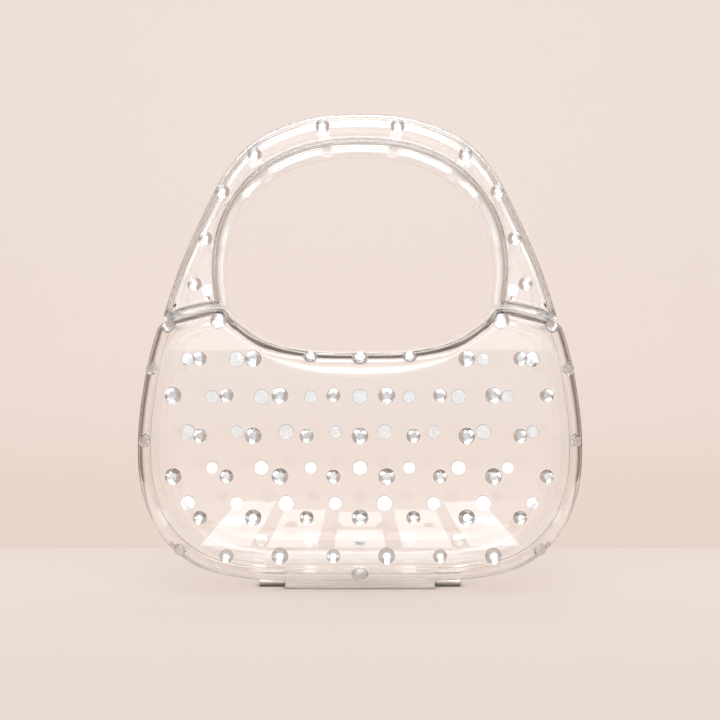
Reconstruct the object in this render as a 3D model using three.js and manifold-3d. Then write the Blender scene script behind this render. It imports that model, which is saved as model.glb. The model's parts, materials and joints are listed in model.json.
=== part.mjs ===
// A clear acrylic handbag with rhinestones. Two moulded halves, front and back, each have a tray-shaped
// body and an arched hollow handle bonded to its shoulders. They meet at a seam and swing apart on a
// pinned hinge under the bag. Millimetres, +Z up, +X to the right, the front face towards -Y.
// The origin is on the ground under the hinge.
import * as THREE from "three";
import { mergeVertices } from "three/addons/utils/BufferGeometryUtils.js";
import Module from "manifold-3d";

const wasm = await Module();
wasm.setup();

// Moulded walls
const HALF_DEPTH = 30; // seam to face, body and handle alike
const WALL = 2.6;
const SEAM_GAP = 0.15; // each half stops this far from the seam
const BOND_GAP = 0.35; // glue line under a handle foot
const BODY_FILLET = 10; // depth of the rounding between a body's side wall and its face
const BODY_DRAFT_SHARE = 0.08; // of the rim's width, taken up by the side wall's draft
const HANDLE_FILLET = 3.5;
const HANDLE_RIM = 4.6; // seam outline to the handle's flat front, seen from the front
const HANDLE_DRAFT_SHARE = 0.18;

// Snap lip: a tongue on the back body enters a groove in the front body's rim
const TONGUE_LENGTH = 2.4;
const TONGUE_INSET = 1.5;
const GROOVE_INSET = 1.2;
const GROOVE_DEPTH = 2.9;

// Hinge under the seam
const HINGE_AXIS_HEIGHT = 2.1; // also the knuckles' radius, so that their flat undersides stand on the ground
const HINGE_REACH = 9; // depth of a block, from the axis
const HINGE_MIDDLE_LENGTH = 66;
const HINGE_END_LENGTH = 11.4;
const HINGE_PLAY = 0.3; // between neighbouring blocks, and round the pin
const PIN_RADIUS = 0.8;

// Rhinestones: flat back, eight sides, a table on top
const STONE_SIDES = 8;
const STONE_GLUE = 0.15; // under each stone's flat back
const STONE_SIZES = {
  large: { radius: 3.6, height: 2.9 },
  small: { radius: 3.0, height: 2.5 },
};
const STONE_GIRDLE_SHARE = 0.25; // of the height
const STONE_TABLE_SHARE = 0.5; // of the radius
const STONE_SUNK = 0.6; // how far a stone that is fused to a wall goes into it
const COLUMN_PITCH = 22.8;

// How finely curves are cut
const BODY_CUTS = 2; // for each stretch between two outline stations
const HANDLE_CUTS = 2;
const BODY_FILLET_STEPS = 4;
const HANDLE_FILLET_STEPS = 2;

// Body outline, right half, from the bottom centre round to the top centre: seam is where the two halves
// meet, and face is the edge of the flat front.
const BODY_OUTLINE = [
  { station: "bottom_centre", seam: [0, 4.5], face: [0, 13.5] },
  { station: "bottom_quarter", seam: [24, 4.5], face: [24, 13.5] },
  { station: "bottom_end", seam: [46, 5], face: [44, 14] },
  { station: "corner_low", seam: [70.5, 10.7], face: [66.5, 19] },
  { station: "corner_middle", seam: [86.6, 24.2], face: [79.3, 29.5] },
  { station: "corner_high", seam: [95, 43], face: [86, 45.5] },
  { station: "widest", seam: [96.9, 64], face: [87.7, 64] },
  { station: "side", seam: [94.6, 88], face: [86, 87] },
  { station: "shoulder_low", seam: [89.6, 110], face: [83.4, 104] },
  { station: "shoulder_outer", seam: [86.6, 116.6], face: [78.5, 111.4] },
  { station: "shoulder_top", seam: [73, 121.6], face: [68, 114.9] },
  { station: "shoulder_inner", seam: [59.5, 123.4], face: [59.5, 113.8] },
  { station: "top_corner", seam: [54.3, 118.5], face: [50.5, 108.6] },
  { station: "top_slope", seam: [40.1, 109.2], face: [36, 99.8] },
  { station: "top_quarter", seam: [22.3, 105.2], face: [20, 95.2] },
  { station: "top_centre", seam: [0, 104.5], face: [0, 93.7] },
];

// Handle stations, right half, from just above the foot to the top, on the seam
const HANDLE_STATIONS = [
  { station: "lower", outer: [79.2, 137.8], inner: [60.9, 141] },
  { station: "middle", outer: [69.7, 160.2], inner: [58.6, 157] },
  { station: "upper", outer: [57.5, 183], inner: [50.9, 172.3] },
  { station: "bend", outer: [45.6, 195.6], inner: [38, 184] },
  { station: "crown", outer: [24, 204.8], inner: [20, 191.4] },
  { station: "top", outer: [0, 207.1], inner: [0, 193.35] },
];
// The foot stands on this stretch of the body's outline, in stations from the bottom centre.
const FOOT_FROM = 9.12;
const FOOT_TO = 11;
const FOOT_CUTS = 3;

// Stones on the flat faces: each row's height, and the columns that it fills on each side of the centre.
// A row with a middle stone counts columns 0, 1, 2 ..., and one without counts 0.5, 1.5 ...
const FRONT_ROWS = [
  { row: "a", height: 101.3, columns: [-3, -2, 2, 3], first: "small" },
  { row: "b", height: 85.6, columns: [-3.5, -2.5, -1.5, -0.5, 0.5, 1.5, 2.5, 3.5], first: "large" },
  { row: "c", height: 68.3, columns: [-3, -2, -1, 0, 1, 2, 3], first: "small" },
  { row: "d", height: 51, columns: [-3.5, -2.5, -1.5, -0.5, 0.5, 1.5, 2.5, 3.5], first: "large" },
  { row: "e", height: 33.4, columns: [-3, -2, -1, 0, 1, 2, 3], first: "small" },
  { row: "f", height: 17, columns: [-2.5, -1.5, -0.5, 0.5, 1.5, 2.5], first: "small" },
];
const BACK_ROWS = [
  { row: "a", height: 101, columns: [-3.5, -2.5, 2.5, 3.5], first: "small" },
  { row: "b", height: 83.7, columns: [-3, -2, -1, 0, 1, 2, 3], first: "small" },
  { row: "c", height: 67.4, columns: [-3.5, -2.5, -1.5, -0.5, 0.5, 1.5, 2.5, 3.5], first: "large" },
  { row: "d", height: 50.9, columns: [-3, -2, -1, 0, 1, 2, 3], first: "small" },
  { row: "e", height: 34.4, columns: [-3.5, -2.5, -1.5, -0.5, 0.5, 1.5, 2.5, 3.5], first: "large" },
  { row: "f", height: 17.5, columns: [-2, -1, 0, 1, 2], first: "small" },
];
// Stones on the rounded rim of each body: the station that they sit at, and how far in from the seam,
// as a share of the rim. Those off the centre line are on both sides.
const RIM_STONES = [
  { station: 0, share: 0.55, size: "large" },
  { station: 3.5, share: 0.45, size: "small" },
  { station: 6.1, share: 0.55, size: "small" },
  { station: 7.45, share: 0.53, size: "small" },
  { station: 9.1, share: 0.5, size: "small" },
  { station: 10.9, share: 0.68, size: "large" },
  { station: 14, share: 0.36, size: "small" },
  { station: 15, share: 0.32, size: "large" },
];
// Stones along the handle, on both sides, on its flat front
const HANDLE_STONES = [
  { across: 70.7, height: 133.2 },
  { across: 66, height: 152.6 },
  { across: 58.7, height: 172.6 },
  { across: 45, height: 188.4 },
  { across: 16, height: 200.6 },
];

const ACRYLIC = new THREE.MeshStandardMaterial({
  color: 0xf3ebe6,
  roughness: 0.05,
  metalness: 0,
  transparent: true,
  opacity: 0.35,
});
const CRYSTAL = new THREE.MeshStandardMaterial({ color: 0xdde1e6, roughness: 0.1, metalness: 0.6 });
const STEEL = new THREE.MeshStandardMaterial({ color: 0xb9b6b3, roughness: 0.25, metalness: 1 });

const FRONT = -1; // the way that a half's face looks along Y
const BACK = 1;

// A smooth curve through points, sampled at stations: curve.at(2.5) is half way from point 2 to point 3.
function stationCurve(points, closed) {
  const corners = points.map(([x, z]) => new THREE.Vector3(x, 0, z));
  const curve = new THREE.CatmullRomCurve3(corners, closed, "centripetal");
  const stretches = closed ? points.length : points.length - 1;
  return {
    at(station) {
      const share = (station / stretches + 1) % 1;
      const point = curve.getPoint(closed ? share : station / stretches);
      return [point.x, point.z];
    },
    cut(from, to, count) {
      const stations = Array.from({ length: count + 1 }, (_, i) => from + ((to - from) * i) / count);
      return stations.map((station) => this.at(station));
    },
  };
}

// A whole loop from its right half, which starts and ends on the centre line
function mirrored(half) {
  const left = half.slice(1, -1).reverse();
  return [...half, ...left.map(([x, z]) => [-x, z])];
}

// A loop moved inwards by a distance. Loops run anticlockwise as the front view shows them.
function inset(loop, distance) {
  const count = loop.length;
  const normals = loop.map(([x, z], i) => {
    const [nextX, nextZ] = loop[(i + 1) % count];
    const length = Math.hypot(nextX - x, nextZ - z);
    return [(z - nextZ) / length, (nextX - x) / length];
  });
  return loop.map(([x, z], i) => {
    const [beforeX, beforeZ] = normals[(i + count - 1) % count];
    const [afterX, afterZ] = normals[i];
    const spread = 1 + beforeX * afterX + beforeZ * afterZ;
    return [x + (distance * (beforeX + afterX)) / spread, z + (distance * (beforeZ + afterZ)) / spread];
  });
}

function between(loopA, loopB, share) {
  return loopA.map(([x, z], i) => [
    x + (loopB[i][0] - x) * share,
    z + (loopB[i][1] - z) * share,
  ]);
}

// Rings of a moulded wall from its flat face to the start of its straight side
function filletRings(edge, face, faceDepth, sideDepth, draftShare, steps) {
  return Array.from({ length: steps + 1 }, (_, i) => {
    const turn = (Math.PI / 2) * (1 - i / steps);
    const share = draftShare + (1 - draftShare) * (1 - Math.cos(turn));
    return { loop: between(edge, face, share), depth: sideDepth + (faceDepth - sideDepth) * Math.sin(turn) };
  });
}

// A closed solid through rings of equal length, capped at the first and the last
function loft(rings, side) {
  const count = rings[0].loop.length;
  const positions = rings.flatMap(({ loop, depth }) => loop.flatMap(([x, z]) => [x, side * depth, z]));
  const capOf = (loop) => THREE.ShapeUtils.triangulateShape(loop.map(([x, z]) => new THREE.Vector2(x, z)), []);
  const triangles = [...capOf(rings[0].loop)];
  for (let ring = 0; ring + 1 < rings.length; ring++) {
    for (let i = 0; i < count; i++) {
      const a = ring * count + i;
      const b = ring * count + ((i + 1) % count);
      triangles.push([a, a + count, b], [b, a + count, b + count]);
    }
  }
  const last = (rings.length - 1) * count;
  capOf(rings.at(-1).loop).forEach(([a, b, c]) => triangles.push([last + a, last + c, last + b]));
  const facing = side === FRONT ? triangles : triangles.map(([a, b, c]) => [a, c, b]);
  const geometry = new THREE.BufferGeometry();
  geometry.setAttribute("position", new THREE.Float32BufferAttribute(positions, 3));
  geometry.setIndex(facing.flat());
  return geometry;
}

function solidOf(geometry) {
  const bare = geometry.clone();
  bare.deleteAttribute("normal");
  bare.deleteAttribute("uv");
  const merged = mergeVertices(bare, 1e-4);
  const vertProperties = new Float32Array(merged.attributes.position.array);
  const triVerts = new Uint32Array(merged.index.array);
  return new wasm.Manifold(new wasm.Mesh({ numProp: 3, vertProperties, triVerts }));
}

function geometryOf(solid) {
  const mesh = solid.getMesh();
  const geometry = new THREE.BufferGeometry();
  geometry.setAttribute("position", new THREE.BufferAttribute(mesh.vertProperties, 3));
  geometry.setIndex(new THREE.BufferAttribute(mesh.triVerts, 1));
  geometry.computeVertexNormals();
  return geometry;
}

// A flat-backed stone whose back is at the origin and whose table looks along +Y. A fused one has no
// girdle of its own: its facets run on into the wall.
function stoneGeometry({ radius, height }, sunk = 0) {
  const girdle = height * STONE_GIRDLE_SHARE;
  const tableRadius = radius * STONE_TABLE_SHARE;
  const flare = 1 + (sunk * (1 - STONE_TABLE_SHARE)) / height;
  const back = sunk ? [[radius * flare, -sunk]] : [[radius, 0], [radius, girdle]];
  const profile = [[0, -sunk], ...back, [tableRadius, height], [0, height]];
  return new THREE.LatheGeometry(profile.map(([x, y]) => new THREE.Vector2(x, y)), STONE_SIDES);
}

// Walls with stones fused on: each seat has a point, a normal and a stone size
function withStones(wall, seats) {
  return seats.reduce((solid, { point, normal, size }) => {
    const turn = new THREE.Quaternion().setFromUnitVectors(new THREE.Vector3(0, 1, 0), normal);
    const stone = stoneGeometry(STONE_SIZES[size], STONE_SUNK).applyQuaternion(turn);
    stone.translate(point.x, point.y, point.z);
    return solid.add(solidOf(stone));
  }, solidOf(wall));
}

const bodySeam = stationCurve(mirrored(BODY_OUTLINE.map((row) => row.seam)), true);
const bodyFace = stationCurve(mirrored(BODY_OUTLINE.map((row) => row.face)), true);
const BODY_STATIONS = 2 * (BODY_OUTLINE.length - 1);
const BODY_SIDE_DEPTH = HALF_DEPTH - BODY_FILLET;

// One half of the body: an open tray with a rounded rim, and a tongue or a groove along the seam
function bodyGeometry(side) {
  const count = BODY_STATIONS * BODY_CUTS;
  const seam = bodySeam.cut(0, BODY_STATIONS, count).slice(0, -1);
  const face = bodyFace.cut(0, BODY_STATIONS, count).slice(0, -1);
  const inner = inset(seam, WALL);
  const lipInset = side === FRONT ? GROOVE_INSET : TONGUE_INSET;
  const lipDepth = side === FRONT ? GROOVE_DEPTH : -TONGUE_LENGTH;
  const lip = inset(seam, lipInset);
  const fillet = (edge, faceDepth) =>
    filletRings(edge, face, faceDepth, BODY_SIDE_DEPTH, BODY_DRAFT_SHARE, BODY_FILLET_STEPS);
  return loft(
    [
      ...fillet(seam, HALF_DEPTH),
      { loop: seam, depth: SEAM_GAP },
      { loop: lip, depth: SEAM_GAP },
      { loop: lip, depth: lipDepth },
      { loop: inner, depth: lipDepth },
      ...fillet(inner, HALF_DEPTH - WALL).reverse(),
    ],
    side,
  );
}

// The point and the outward normal on a body's rounded rim
function rimSeat(station, share, side) {
  const place = (at, inwards) => {
    const turn = Math.acos(1 - (inwards - BODY_DRAFT_SHARE) / (1 - BODY_DRAFT_SHARE));
    const [[x, z]] = between([bodySeam.at(at)], [bodyFace.at(at)], inwards);
    return new THREE.Vector3(x, side * (BODY_SIDE_DEPTH + BODY_FILLET * Math.sin(turn)), z);
  };
  const step = 0.02;
  const along = place(station + step, share).sub(place(station - step, share));
  const inwards = place(station, share + step).sub(place(station, share - step));
  const normal = along.cross(inwards).normalize();
  return { point: place(station, share), normal: normal.multiplyScalar(side === FRONT ? 1 : -1) };
}

function rimSeats(side) {
  return RIM_STONES.flatMap(({ station, share, size }) => {
    const centred = station === 0 || station === BODY_OUTLINE.length - 1;
    const stations = centred ? [station] : [station, BODY_STATIONS - station];
    return stations.map((at) => ({ ...rimSeat(at, share, side), size }));
  });
}

// Places of the stones on a flat face, large and small in turn along each row
function faceSeats(rows) {
  return rows.flatMap(({ row, height, columns, first }) => {
    const second = first === "large" ? "small" : "large";
    return columns.map((column, i) => {
      const turn = Math.round(column - columns[0]) % 2;
      return { name: `stone_${row}${i + 1}`, x: column * COLUMN_PITCH, z: height, size: turn ? second : first };
    });
  });
}

const flatSeat = (x, z, size, side) => ({
  point: new THREE.Vector3(x, side * (HALF_DEPTH + STONE_GLUE), z),
  normal: new THREE.Vector3(0, side, 0),
  size,
});

// The underside of the right foot, from its outer corner to its inner one, a glue line above the shoulder
function footEdge() {
  const step = 0.02;
  return Array.from({ length: FOOT_CUTS + 1 }, (_, i) => {
    const station = FOOT_FROM + ((FOOT_TO - FOOT_FROM) * i) / FOOT_CUTS;
    const [x, z] = bodySeam.at(station);
    const [beforeX, beforeZ] = bodySeam.at(station - step);
    const [afterX, afterZ] = bodySeam.at(station + step);
    const length = Math.hypot(afterX - beforeX, afterZ - beforeZ);
    return [
      x + (BOND_GAP * (afterZ - beforeZ)) / length,
      z - (BOND_GAP * (afterX - beforeX)) / length,
    ];
  });
}

const foot = footEdge();
const acrossTop = (half) => [...half, ...half.slice(0, -1).reverse().map(([x, z]) => [-x, z])];
const handleOuter = stationCurve(acrossTop([foot[0], ...HANDLE_STATIONS.map((row) => row.outer)]), false);
const handleInner = stationCurve(acrossTop([foot.at(-1), ...HANDLE_STATIONS.map((row) => row.inner)]), false);
const HANDLE_STRETCHES = 2 * HANDLE_STATIONS.length;
const FOOT_STRETCH = Math.hypot(foot[0][0] - HANDLE_STATIONS[0].outer[0], foot[0][1] - HANDLE_STATIONS[0].outer[1]);

// The handle's outline, drawn in by a distance from its two long edges and from under its feet
function handleLoop(distance) {
  const margin = distance / FOOT_STRETCH;
  const count = HANDLE_STRETCHES * HANDLE_CUTS;
  const outer = handleOuter.cut(margin, HANDLE_STRETCHES - margin, count);
  const inner = handleInner.cut(margin, HANDLE_STRETCHES - margin, count);
  const width = outer.map(([x, z], i) => Math.hypot(inner[i][0] - x, inner[i][1] - z));
  const towards = (loop, other) =>
    loop.map(([x, z], i) => [
      x + ((other[i][0] - x) * distance) / width[i],
      z + ((other[i][1] - z) * distance) / width[i],
    ]);
  const outerEdge = towards(outer, inner);
  const innerEdge = towards(inner, outer);
  const chord = (from, to) => foot.slice(1, -1).map((_, i) => between([from], [to], (i + 1) / FOOT_CUTS)[0]);
  const straight = chord(foot[0], foot.at(-1));
  const drawn = chord(outerEdge[0], innerEdge[0]).map(([x, z], i) => [
    x + foot[i + 1][0] - straight[i][0],
    z + foot[i + 1][1] - straight[i][1],
  ]);
  return [...outerEdge, ...drawn.map(([x, z]) => [-x, z]), ...innerEdge.reverse(), ...drawn.reverse()];
}

// One half of the handle: a hollow arch, closed over each shoulder by a foot that follows the body
function handleGeometry(side) {
  const seam = handleLoop(0);
  const inner = handleLoop(WALL);
  const face = handleLoop(HANDLE_RIM);
  const fillet = (edge, faceDepth) =>
    filletRings(edge, face, faceDepth, HALF_DEPTH - HANDLE_FILLET, HANDLE_DRAFT_SHARE, HANDLE_FILLET_STEPS);
  return loft(
    [
      ...fillet(seam, HALF_DEPTH),
      { loop: seam, depth: SEAM_GAP },
      { loop: inner, depth: SEAM_GAP },
      ...fillet(inner, HALF_DEPTH - WALL).reverse(),
    ],
    side,
  );
}

function handleSeats(side) {
  return HANDLE_STONES.flatMap(({ across, height }) =>
    [-across, across].map((x) => flatSeat(x, height, "small", side)),
  );
}

// A hinge block along X: flat underneath, with a round knuckle on the axis and a bore for the pin
function hingeBlock(from, to, side) {
  const radius = HINGE_AXIS_HEIGHT;
  const profile = new THREE.Shape();
  profile.moveTo(side * HINGE_REACH, -radius);
  profile.lineTo(0, -radius);
  profile.absarc(0, 0, radius, -Math.PI / 2, Math.PI / 2, side === FRONT ? false : true);
  profile.lineTo(side * HINGE_REACH, radius);
  const bore = new THREE.Path();
  bore.absarc(0, 0, PIN_RADIUS + HINGE_PLAY, 0, 2 * Math.PI);
  profile.holes.push(bore);
  const block = new THREE.ExtrudeGeometry(profile, { depth: to - from, bevelEnabled: false, curveSegments: 8 });
  block.rotateX(Math.PI / 2).rotateZ(Math.PI / 2);
  return block.translate(from, 0, HINGE_AXIS_HEIGHT);
}

function hingePin() {
  const length = HINGE_MIDDLE_LENGTH + 2 * (HINGE_PLAY + HINGE_END_LENGTH);
  const pin = new THREE.CylinderGeometry(PIN_RADIUS, PIN_RADIUS, length, 12);
  return pin.rotateZ(Math.PI / 2).translate(0, 0, HINGE_AXIS_HEIGHT);
}

const bag = new THREE.Group();
const frontHalf = new THREE.Group();
const backHalf = new THREE.Group();
bag.add(frontHalf, backHalf);

function place(group, name, geometry, material) {
  const mesh = new THREE.Mesh(geometry, material);
  mesh.name = name;
  group.add(mesh);
}

const backFaceSeats = faceSeats(BACK_ROWS).map(({ x, z, size }) => flatSeat(x, z, size, BACK));
const frontBody = withStones(bodyGeometry(FRONT), rimSeats(FRONT));
const backBody = withStones(bodyGeometry(BACK), [...rimSeats(BACK), ...backFaceSeats]);
place(frontHalf, "front_body", geometryOf(frontBody), ACRYLIC);
place(backHalf, "back_body", geometryOf(backBody), ACRYLIC);
place(frontHalf, "front_handle", geometryOf(withStones(handleGeometry(FRONT), handleSeats(FRONT))), ACRYLIC);
place(backHalf, "back_handle", geometryOf(withStones(handleGeometry(BACK), handleSeats(BACK))), ACRYLIC);

faceSeats(FRONT_ROWS).forEach(({ name, x, z, size }) => {
  const stone = stoneGeometry(STONE_SIZES[size]).rotateX(Math.PI);
  stone.translate(x, FRONT * (HALF_DEPTH + STONE_GLUE), z);
  place(frontHalf, name, stone, CRYSTAL);
});

const hingeEnd = HINGE_MIDDLE_LENGTH / 2;
const blockStart = hingeEnd + HINGE_PLAY;
const blockEnd = blockStart + HINGE_END_LENGTH;
place(frontHalf, "hinge_middle", hingeBlock(-hingeEnd, hingeEnd, FRONT), STEEL);
place(backHalf, "hinge_left", hingeBlock(-blockEnd, -blockStart, BACK), STEEL);
place(backHalf, "hinge_right", hingeBlock(blockStart, blockEnd, BACK), STEEL);
place(backHalf, "hinge_pin", hingePin(), STEEL);

export default bag;
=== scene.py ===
# A clear acrylic handbag with rhinestones: two moulded half shells with arched hollow handles, cut glass
# stones on silver foil, and a pinned steel hinge under the seam. Lengths are millimetres in the frame of the
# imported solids, with +Z up, +X to the right and the front face towards -Y. The camera, the lamps and the
# materials are in metres.
import json
import math

import bmesh
import bpy
import numpy as np
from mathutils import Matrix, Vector

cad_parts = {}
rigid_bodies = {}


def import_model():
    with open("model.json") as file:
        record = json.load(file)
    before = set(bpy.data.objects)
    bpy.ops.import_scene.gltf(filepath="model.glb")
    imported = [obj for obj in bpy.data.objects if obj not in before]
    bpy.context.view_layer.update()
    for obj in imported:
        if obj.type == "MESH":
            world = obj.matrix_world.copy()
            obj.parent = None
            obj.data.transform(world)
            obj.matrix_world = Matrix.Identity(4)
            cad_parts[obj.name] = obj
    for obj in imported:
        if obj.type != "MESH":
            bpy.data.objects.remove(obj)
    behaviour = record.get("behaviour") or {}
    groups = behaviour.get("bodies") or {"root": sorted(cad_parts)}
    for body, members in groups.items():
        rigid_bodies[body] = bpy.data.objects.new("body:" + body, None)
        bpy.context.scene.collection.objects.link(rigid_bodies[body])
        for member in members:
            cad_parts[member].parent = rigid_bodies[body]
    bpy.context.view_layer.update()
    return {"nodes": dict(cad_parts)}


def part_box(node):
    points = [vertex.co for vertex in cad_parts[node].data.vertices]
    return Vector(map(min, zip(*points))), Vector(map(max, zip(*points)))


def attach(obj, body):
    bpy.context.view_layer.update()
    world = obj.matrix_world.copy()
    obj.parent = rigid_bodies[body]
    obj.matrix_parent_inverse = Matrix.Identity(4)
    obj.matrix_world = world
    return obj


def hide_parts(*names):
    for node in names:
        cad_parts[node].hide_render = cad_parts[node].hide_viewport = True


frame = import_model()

MM = 0.001
FRONT = -1  # the way that a half's face looks along Y
BACK = 1

# Moulded walls, as in the solids
HALF_DEPTH = 30.0
WALL = 2.6
SEAM_GAP = 0.15
BOND_GAP = 0.35  # between a foot of the handle and the shoulder
BODY_FILLET = 10.0
BODY_DRAFT_SHARE = 0.08  # how far the side leans in, as a share of the way from seam to face
HANDLE_FILLET = 3.5
HANDLE_RIM = 4.6  # from the handle's edge to its flat front
HANDLE_DRAFT_SHARE = 0.18
EDGE_ROUND = 0.4  # rounding along the moulded rims
FACE_MARGIN = 0.6  # flat border round a face, so that its shading stays flat

# Snap lip along the seam
TONGUE_LENGTH = 2.4
TONGUE_INSET = 1.5
GROOVE_INSET = 1.2
GROOVE_DEPTH = 2.9

# Hinge
HINGE_AXIS_HEIGHT = 2.1
HINGE_REACH = 9.0
HINGE_MIDDLE_LENGTH = 66.0
HINGE_END_LENGTH = 11.4
HINGE_PLAY = 0.3
HINGE_CHAMFER = 0.3
HINGE_ROUND = 0.5
PIN_RADIUS = 0.8
PIN_DOME = [(0.0, 0.5), (0.15, 0.85), (0.4, 1.0)]  # distance from the end, share of the radius

# Stones
STONE_SIZES = {"large": (3.6, 2.9), "small": (3.0, 2.5)}  # radius, height
STONE_GLUE = 0.15
STONE_RIM_FACETS = 16
STONE_TABLE_SIDES = 8
STONE_TABLE_SHARE = 0.5  # of the radius, and so are the next two
STONE_STAR_SHARE = 0.76
STONE_FOIL_SHARE = 0.95
STONE_GIRDLE_LOW_SHARE = 0.1  # of the height, and so is the next
STONE_GIRDLE_HIGH_SHARE = 0.25
STONE_POINT_HEIGHT = 0.25  # of the foil under the middle of the glass
STONE_CUP_GAP = 0.03
STONE_SPIN = 2.399963  # each stone is turned this much further than the one before
COLUMN_PITCH = 22.8

# How finely curves are cut
BODY_CUTS = 14
HANDLE_CUTS = 16
FOOT_CUTS = 24
FILLET_STEPS = 16
ROUND_STEPS = 4
KNUCKLE_STEPS = 24
SHADE_DEGREES = 35  # sharper edges than this aren't shaded smooth
SLOPE_STEP = 0.02  # from a point to the two beside it that give a curve's direction

# Rounded corners of a rim or a block
FLAT_STEP = 0.4
FLAT_STEP_SHARE = 0.1  # at most, of a stretch between two corners
ROUND_SHARE = 0.4  # at most, of a stretch between two corners
ROUND_FLAT_SHARE = 0.2  # flat beside a rounding, as a share of the rounding

# Body outline, right half, from the bottom centre round to the top centre: x and z on the seam, then x and z
# at the edge of the flat face
BODY_OUTLINE = [
    # station, seam x, seam z, face x, face z
    ("bottom_centre", 0, 4.5, 0, 13.5),
    ("bottom_quarter", 24, 4.5, 24, 13.5),
    ("bottom_end", 46, 5, 44, 14),
    ("corner_low", 70.5, 10.7, 66.5, 19),
    ("corner_middle", 86.6, 24.2, 79.3, 29.5),
    ("corner_high", 95, 43, 86, 45.5),
    ("widest", 96.9, 64, 87.7, 64),
    ("side", 94.6, 88, 86, 87),
    ("shoulder_low", 89.6, 110, 83.4, 104),
    ("shoulder_outer", 86.6, 116.6, 78.5, 111.4),
    ("shoulder_top", 73, 121.6, 68, 114.9),
    ("shoulder_inner", 59.5, 123.4, 59.5, 113.8),
    ("top_corner", 54.3, 118.5, 50.5, 108.6),
    ("top_slope", 40.1, 109.2, 36, 99.8),
    ("top_quarter", 22.3, 105.2, 20, 95.2),
    ("top_centre", 0, 104.5, 0, 93.7),
]
FOOT_FROM = 9.12  # stations of the body outline that a foot of the handle covers
FOOT_TO = 11.0

# Handle, right half, from just above the foot to the top, on the seam
HANDLE_STATIONS = [
    # station, outer x, outer z, inner x, inner z
    ("lower", 79.2, 137.8, 60.9, 141),
    ("middle", 69.7, 160.2, 58.6, 157),
    ("upper", 57.5, 183, 50.9, 172.3),
    ("bend", 45.6, 195.6, 38, 184),
    ("crown", 24, 204.8, 20, 191.4),
    ("top", 0, 207.1, 0, 193.35),
]

# Stones on the back face. Columns are counted from the centre line, and sizes take turns along a row.
BACK_ROWS = [
    # height, columns, first size
    (101, (-3.5, -2.5, 2.5, 3.5), "small"),
    (83.7, (-3, -2, -1, 0, 1, 2, 3), "small"),
    (67.4, (-3.5, -2.5, -1.5, -0.5, 0.5, 1.5, 2.5, 3.5), "large"),
    (50.9, (-3, -2, -1, 0, 1, 2, 3), "small"),
    (34.4, (-3.5, -2.5, -1.5, -0.5, 0.5, 1.5, 2.5, 3.5), "large"),
    (17.5, (-2, -1, 0, 1, 2), "small"),
]
# Stones on the rounded rim of the front body, on both sides
RIM_STONES = [
    # station on the body outline, share of the way from seam to face, size
    (0, 0.55, "large"),
    (3.5, 0.45, "small"),
    (6.1, 0.55, "small"),
    (7.45, 0.53, "small"),
    (9.1, 0.5, "small"),
    (10.9, 0.68, "large"),
    (14, 0.36, "small"),
    (15, 0.32, "large"),
]
# Small stones on the flat front of each handle half, on both sides: x and z
HANDLE_STONES = [(70.7, 133.2), (66, 152.6), (58.7, 172.6), (45, 188.4), (16, 200.6)]

# Camera: level, at the photograph's distance and height
CAMERA_PLACE = (0.0, -0.734, 0.1007)
CAMERA_LENS = 82.4
CAMERA_SENSOR = 36.0
CAMERA_NEAREST = 0.01


def smooth_curve(points, closed):
    """A smooth curve through points: at(2.5) is half way from point 2 to point 3."""
    knots = np.array(points, float)
    count = len(knots)

    def knot(i):
        if closed:
            return knots[i % count]
        if i < 0:
            return 2 * knots[0] - knots[1]
        if i >= count:
            return 2 * knots[-1] - knots[-2]
        return knots[i]

    def at(station):
        start = math.floor(station)
        if not closed:
            start = min(max(start, 0), count - 2)
        share = station - start
        before, here, there, after = (knot(start + i) for i in (-1, 0, 1, 2))
        gap_before = math.sqrt(np.linalg.norm(here - before))
        gap = math.sqrt(np.linalg.norm(there - here))
        gap_after = math.sqrt(np.linalg.norm(after - there))
        leaving = (here - before) / gap_before - (there - before) / (gap_before + gap) + (there - here) / gap
        arriving = (there - here) / gap - (after - here) / (gap + gap_after) + (after - there) / gap_after
        leaving = leaving * gap
        arriving = arriving * gap
        square = -3 * here + 3 * there - 2 * leaving - arriving
        cube = 2 * here - 2 * there + leaving + arriving
        return here + leaving * share + square * share**2 + cube * share**3

    return at


def cut_curve(curve, start, end, count):
    return np.array([curve(station) for station in np.linspace(start, end, count + 1)])


def mirrored(half):
    """A whole loop from its right half, which starts and ends on the centre line."""
    left = [(-x, z) for x, z in half[-2:0:-1]]
    return list(half) + left


def across_top(half):
    """A whole arch from its right half, which ends on the centre line."""
    left = [(-x, z) for x, z in half[-2::-1]]
    return list(half) + left


def inset(loop, distance):
    """A loop moved inwards. Loops run anticlockwise as the front view shows them."""
    step = np.roll(loop, -1, axis=0) - loop
    step /= np.linalg.norm(step, axis=1, keepdims=True)
    after = np.column_stack([-step[:, 1], step[:, 0]])
    before = np.roll(after, 1, axis=0)
    spread = 1 + np.sum(before * after, axis=1, keepdims=True)
    return loop + distance * (before + after) / spread


def between(start, end, share):
    return start + (end - start) * share


def ring(loop, depth, side):
    """A loop of x and z set at a depth from the seam."""
    return np.column_stack([loop[:, 0], np.full(len(loop), side * depth), loop[:, 1]])


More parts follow.
